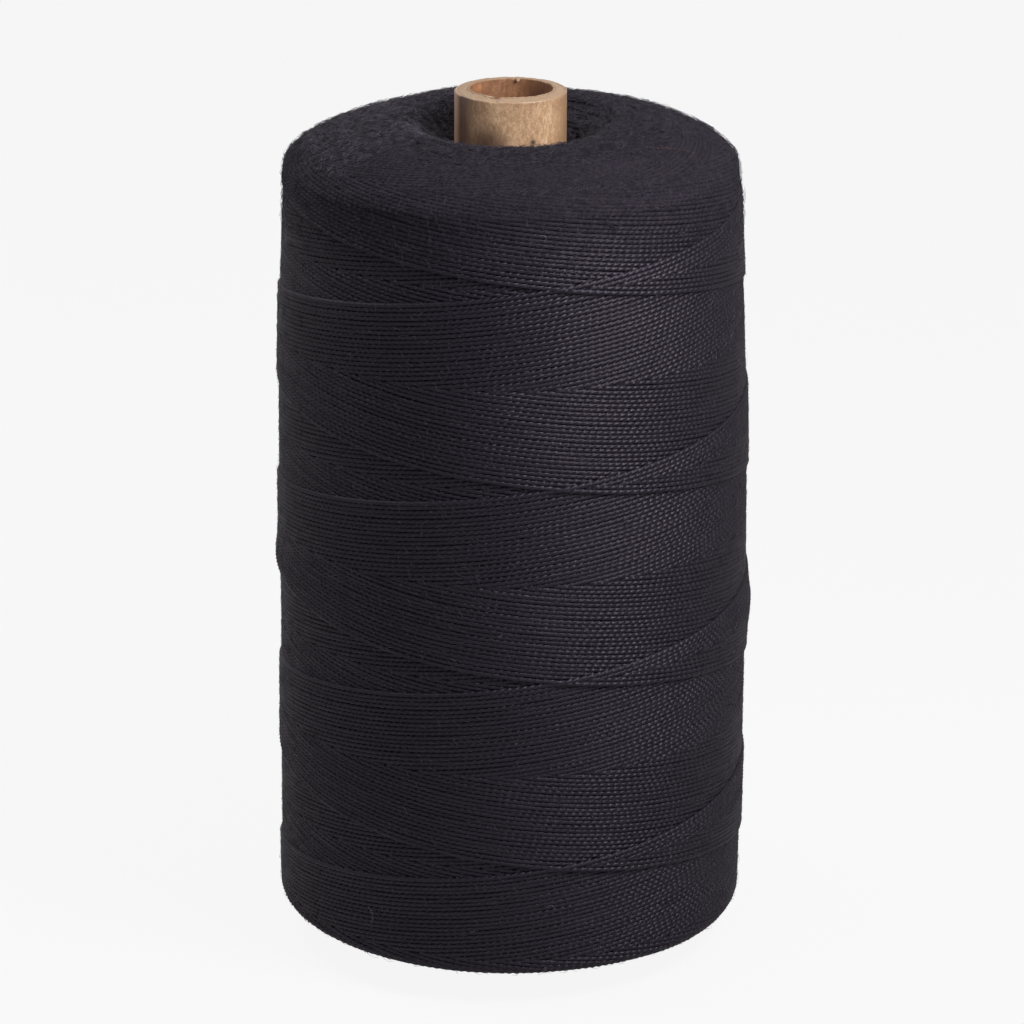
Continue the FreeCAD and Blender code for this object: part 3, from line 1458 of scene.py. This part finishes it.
BULGES = (
    Swell(-1.66, -6.6, 0.45, 0.5, 2.6),
    Swell(1.68, -14.5, 0.55, 0.45, 3.4),
)
LEANS = (
    Swell(-1.57, -17.0, -0.85, 1.0, 36.0),
    Swell(1.57, 22.0, 0.25, 1.0, 36.0),
    Swell(-2.0, 71.0, -0.85, 1.1, 10.0),
    Swell(-1.9, 64.0, -0.35, 0.8, 7.0),
    Swell(-2.7, 71.0, 0.65, 0.45, 8.0),
    Swell(2.45, 71.0, -0.45, 0.45, 8.0),
    Swell(0.0, -68.0, 0.25, 1.0, 8.0),
    Swell(0.9, -66.0, 0.5, 0.4, 7.0),
    Swell(2.1, 69.0, 0.45, 0.8, 9.0),
    Swell(0.0, 78.0, -0.35, 0.9, 9.0),
)
# Each fibre that has a place of its own: its angle, its place, its length and its heading.
PALE_LINT = (
    (-0.30, 64.0, 0.5, 0.3),
    (-0.306, 44.7, 0.5, 1.0),
    (0.337, -41.9, 1.0, 0.9),
    (-0.334, -53.4, 0.8, 0.4),
    (-0.20, -58.6, 0.9, 1.2),
    (0.148, -62.3, 1.1, 0.2),
    (-0.564, -55.2, 0.7, 0.7),
    (0.56, 69.5, 2.4, 1.5),
    (1.17, 60.0, 1.6, 1.4),
    (-1.37, 73.9, 1.2, 0.4),
)
BROWN_HAIR = (
    (0.954, 69.0, 9.0, -0.6),
)


@dataclass
class Package:
    """All the thread: the outer layer, the end faces, the older turns and the loose fibres."""

    outline: Outline = field(default_factory=lambda: Outline(swells=BULGES + LEANS))
    thread: PliedThread = field(default_factory=PliedThread)
    top_start: float = 69.0
    foot_start: float = 70.0
    foot_spacing: float = 0.64
    tube_gap: float = 0.3
    fuzz_gap: float = 0.5
    foot_gap: float = 2.0

    def __post_init__(self) -> None:
        """Lay out the winding and measure how far the outline goes down and up."""
        self.winding = CrossWinding(self.outline, self.thread)
        self.low, self.high = -self.outline.lengths[0], self.outline.lengths[-1]

    def build_wound(self) -> None:
        """Build the outer layer, the two end faces and the older turns."""
        cotton = ThreadFinish().material()
        # The end faces are frayed all over, so the height where the top band begins is past the top,
        # and they get neither its roughness nor its painted shade. Their grooves are also painted
        # lighter, as painted fill light.
        frayed = ThreadFinish(
            "thread_frayed", groove_painted_light=srgb(29, 25, 33), body=srgb(19, 16, 22), crest=srgb(26, 22, 29),
            worn=srgb(68, 62, 74), fuzz=0.5, roughness=0.65, shine=0.25, top_band_from=150.0,
            top_band_to=151.0).material()
        self.winding.build(cotton)
        EndFace(End.TOP, self.outline, self.thread, start=self.top_start,
                stop=self.high - self.tube_gap).build(frayed)
        EndFace(End.BOTTOM, self.outline, self.thread, start=self.foot_start,
                stop=self.low - self.tube_gap, spacing=self.foot_spacing, seed=8).build(frayed)
        Underlayer(self.outline, self.winding).build(UnderlayerFinish().material())

    def build_fuzz(self) -> None:
        """Build the short fibres that make the thread look soft; the paler haze fibres are painted
        light.
        """
        fuzz = FibreFinish("fuzz_fibre", srgb(38, 35, 44), srgb(82, 76, 90)).material()
        pale = FibreFinish("fuzz_fibre_pale", srgb(36, 32, 41), srgb(72, 66, 78)).material()
        # Paler fibres as painted light: in the crater, lightening the tube's shadow, and on the left
        # of the top, where the fuzz is lit from behind.
        painted_light_haze = FibreFinish("fuzz_fibre_haze", srgb(60, 55, 65), srgb(100, 94, 105)).material()
        dim = FibreFinish("fuzz_fibre_dim", srgb(27, 24, 32), srgb(60, 54, 67)).material()
        top = self.high - self.fuzz_gap
        loose = partial(LooseFibres, self.outline, self.winding.surface)
        loose("thread_fuzz_side", 18000, (0.5, 1.7), 0.026, 0.25, points=2).build(fuzz)
        loose("thread_fuzz_top", 4000, (0.8, 3.0), 0.032, 0.5, reach=(68.5, top), bend=2.8,
              seed=17).build(pale)
        loose("thread_haze_crater", 1500, (0.8, 3.0), 0.032, 0.5, reach=(78.5, top),
              sector=(-3.0, 0.6), bend=2.8, seed=29).build(painted_light_haze)
        loose("thread_haze_left", 2000, (0.8, 3.0), 0.03, 0.6, reach=(60.0, 79.0),
              sector=(-2.7, -0.9), bend=3.0, seed=37).build(painted_light_haze)
        loose("thread_fuzz_crown", 4000, (0.8, 3.2), 0.03, 0.5, reach=(57.0, 78.0), bend=3.0,
              seed=31).build(dim)
        loose("thread_fuzz_brow", 4500, (0.8, 3.2), 0.03, 0.5, reach=(48.0, 74.0), bend=2.8,
              seed=23).build(dim)
        loose("thread_fuzz_foot", 900, (0.8, 2.6), 0.024, 0.5,
              reach=(self.foot_gap - self.low, -58.0), bend=2.0, seed=19).build(fuzz)

    def build_lint(self) -> None:
        """Build the pale lint and the brown hair that cling to the thread."""
        lint = FibreFinish("lint_fibre", srgb(96, 92, 100), srgb(160, 156, 162)).material()
        hair = FibreFinish("hair_fibre", srgb(96, 58, 50), srgb(140, 92, 80)).material()
        loose = partial(LooseFibres, self.outline, self.winding.surface)
        loose("pale_lint", 90, (0.4, 4.0), 0.02, 0.4, points=7, bend=2.6, seed=21,
              fixed=PALE_LINT).build(lint)
        loose("brown_hair", 0, (1.0, 2.0), 0.03, 0.5, points=9, bend=0.3,
              fixed=BROWN_HAIR).build(hair)

    def build(self) -> None:
        """Build the thread and what clings to it."""
        self.build_wound()
        self.build_fuzz()
        self.build_lint()


@dataclass(frozen=True)
class Tube:
    """The paper tube: three plies, one inside the next, and two flaps torn from its rim."""

    outer: KraftFinish = KraftFinish(
        "kraft_outer", srgb(150, 115, 85), srgb(194, 157, 123), srgb(226, 192, 157), rim=136.6,
        roughness=0.42, shine=0.7,
        # Painted shade on the left of the wall, beside the lapped edge, where the light from the right
        # falls off.
        stains_and_painted_light=(StainAndPaintedLight((-7.3, -4.4, 0.0), 3.4, srgb(108, 80, 68), 0.95, upright=True),
                # A painted highlight: a light strip along the lapped edge on the left.
                StainAndPaintedLight((-8.4, -2.0, 0.0), 1.7, srgb(196, 158, 142), 0.9, upright=True),
                # Darker towards the right side of the wall.
                StainAndPaintedLight((8.3, -2.2, 0.0), 5.0, srgb(152, 116, 86), 0.8, upright=True),
                # Painted shade at the front of the tube's foot, where it goes into the thread.
                StainAndPaintedLight((-3.6, -7.7, 129.6), 5.0, srgb(98, 74, 62), 1.0),
                StainAndPaintedLight((3.3, -7.8, 130.3), 0.75, srgb(38, 32, 34), 1.0)))
    board: KraftFinish = KraftFinish(
        "kraft_board", srgb(142, 116, 92), srgb(182, 154, 126), srgb(206, 182, 156))
    inner: KraftFinish = KraftFinish(
        "kraft_inner", srgb(118, 80, 56), srgb(146, 103, 73), srgb(170, 129, 96), rim=136.9,
        stains_and_painted_light=(StainAndPaintedLight((-4.96, 4.0, 136.0), 0.9, srgb(214, 138, 90), 0.5),
                # Painted shadow of the torn back flap, on the bore below it.
                StainAndPaintedLight((0.4, 6.4, 136.3), 0.6, srgb(104, 70, 50), 0.7),
                # Painted shade on the right of the bore, away from the light.
                StainAndPaintedLight((5.0, 3.6, 133.0), 6.0, srgb(100, 74, 72), 0.6)))
    tear: float = -0.35
    back_tear: float = 3.0
    seam: float = -1.112

    def build(self) -> None:
        """Build the plies from the outermost inwards, then the flaps."""
        PaperPly("paper_outer_ply", "outer_kraft", "outer_ply", inner_radius=8.2, outer_radius=8.51,
                 rim=136.62, rake=0.05, lap=0.2, lap_seam=self.seam,
                 nicks=(Nick(self.tear, 0.12, 0.1, -0.12),)).build(self.outer)
        PaperPly("paper_board_plies", "board_kraft", "board_plies", inner_radius=6.7,
                 outer_radius=8.25, rim=136.6, rake=0.3, fray=0.1,
                 nicks=(Nick(self.tear, 0.16, 0.12, -0.3),)).build(self.board)
        PaperPly("paper_inner_ply", "inner_kraft", "inner_ply", inner_radius=6.37,
                 outer_radius=6.75, rim=136.95, fray=0.08,
                 nicks=(Nick(self.tear, 0.21, 0.1, -0.45),
                        Nick(self.back_tear, 0.14, 0.2, -0.22))).build(self.inner)
        PaperFlap("paper_flap_back", "inner_kraft", angle=2.97, half_arc=0.055, radius=6.45,
                  level=136.9, out=-0.55, drop=0.35).build(self.board)
        PaperFlap("paper_flap_front", "inner_kraft", angle=-0.5, half_arc=0.14, radius=6.6,
                  level=136.95, out=0.5, drop=0.1).build(self.board)


def main() -> None:
    """Build the studio, the thread and the tube."""
    logging.basicConfig(level=logging.INFO, format="%(name)s: %(message)s")
    Studio().build()
    Package().build()
    Tube().build()


if __name__ == "__main__":
    main()
